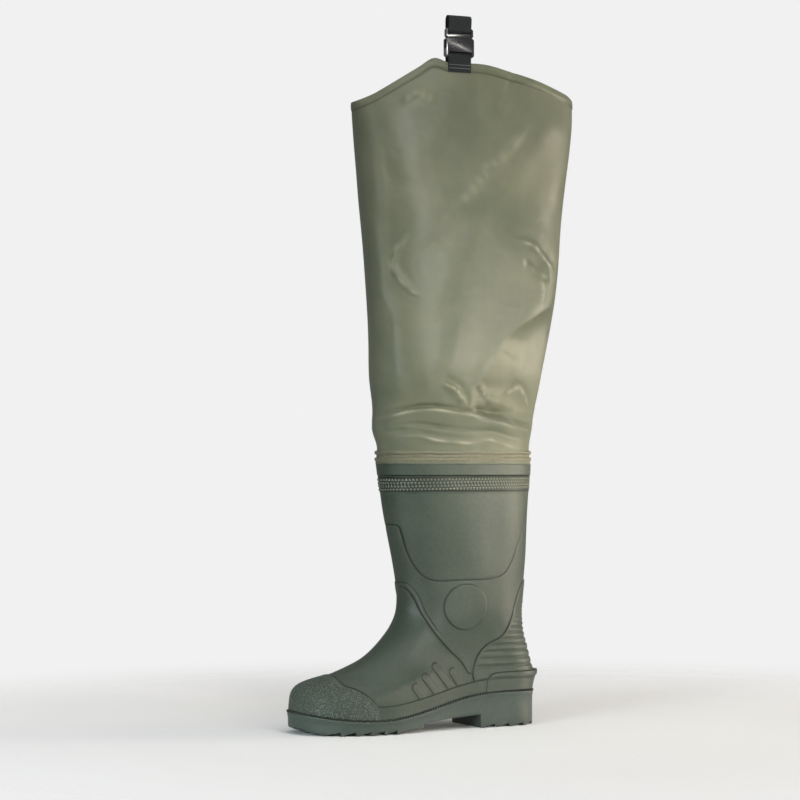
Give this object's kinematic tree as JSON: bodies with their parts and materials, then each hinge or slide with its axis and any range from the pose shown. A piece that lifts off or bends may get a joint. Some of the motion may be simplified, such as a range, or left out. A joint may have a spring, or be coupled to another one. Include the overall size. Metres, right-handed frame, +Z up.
{
  "type": "hip wader",
  "caption": "Left hip wader: moulded boot with a cleated sole, welded to a tall coated-cloth leg whose rim peaks on the outer side, with a webbing belt strap and fastened buckle.",
  "frame": {"origin": "middle of the flat pad under the heel, on the floor plane", "axes": "+X towards the toe, +Y to the wearer's left, which is the outer side, +Z up"},
  "size_m": [0.3633, 0.1122, 0.8132],
  "materials": {
    "sole_rubber": "matt moulded rubber, dark olive green",
    "boot_rubber": "satin moulded rubber, dark olive green, grained toe cap",
    "insole_cloth": "matt cloth-faced foam, pale olive",
    "leg_cloth": "coated woven cloth with a slight gloss, khaki green outside and pale olive inside",
    "webbing": "matt woven webbing, black",
    "buckle_plastic": "polished moulded plastic, black"
  },
  "bodies": {
    "root": {"outsole": "sole_rubber", "boot_upper": "boot_rubber", "insole": "insole_cloth", "leg": "leg_cloth", "joint_band": "boot_rubber", "strap_tab": "webbing", "belt_strap": "webbing", "buckle_body": "buckle_plastic", "buckle_prongs": "buckle_plastic"}
  },
  "joints": []
}
